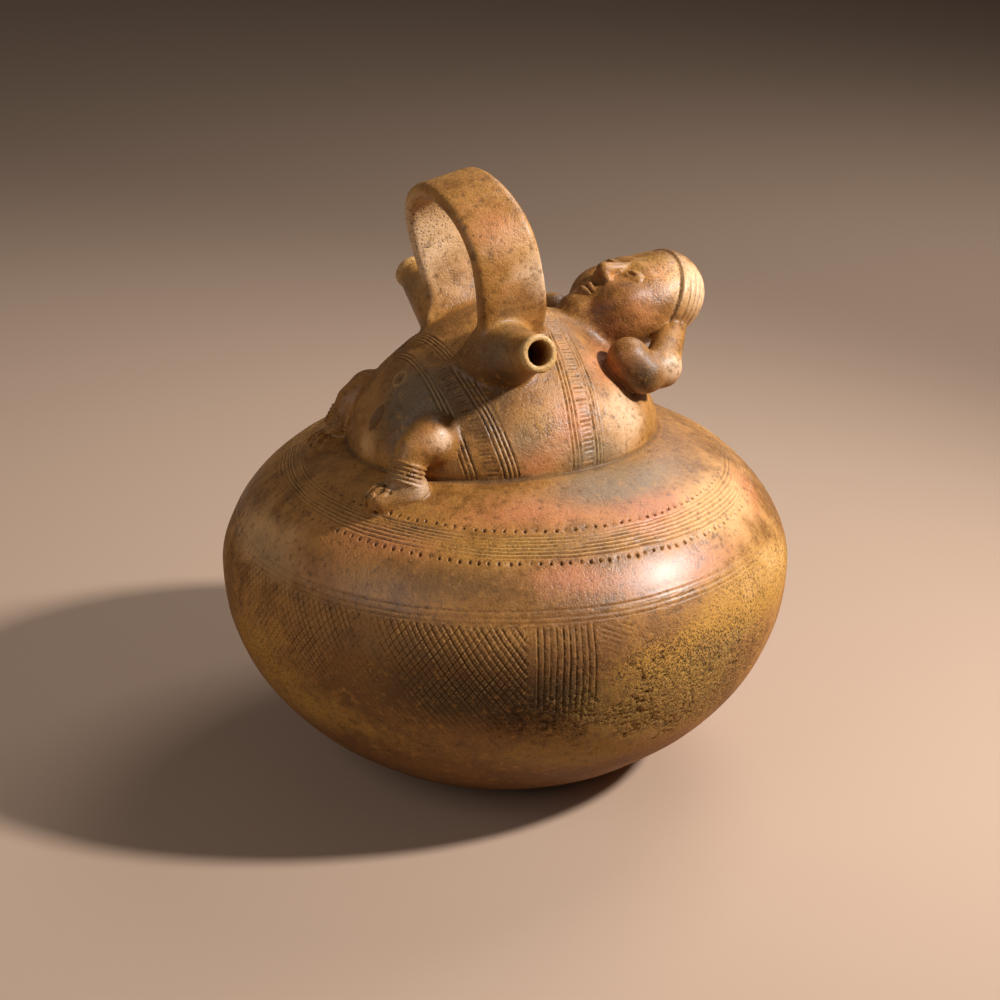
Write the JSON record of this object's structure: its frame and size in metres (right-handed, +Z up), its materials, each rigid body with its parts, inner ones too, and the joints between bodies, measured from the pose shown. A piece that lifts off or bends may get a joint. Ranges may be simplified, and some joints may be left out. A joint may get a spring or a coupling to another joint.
{
  "type": "double spout and bridge vessel",
  "caption": "Hollow round-bellied clay vessel with a figure lying on its shoulder, twin spouts on the figure's flanks and a strap bridge as the handle.",
  "frame": {"origin": "centre of the flat underside of the bowl, on the surface the vessel stands on", "axes": "+Z up; +X from the figure's feet to its head; the two spouts point along -Y and +Y"},
  "size_m": [0.2, 0.2, 0.2129],
  "materials": {
    "clay": "burnished satin"
  },
  "bodies": {
    "root": {"vessel": "clay"}
  },
  "joints": []
}
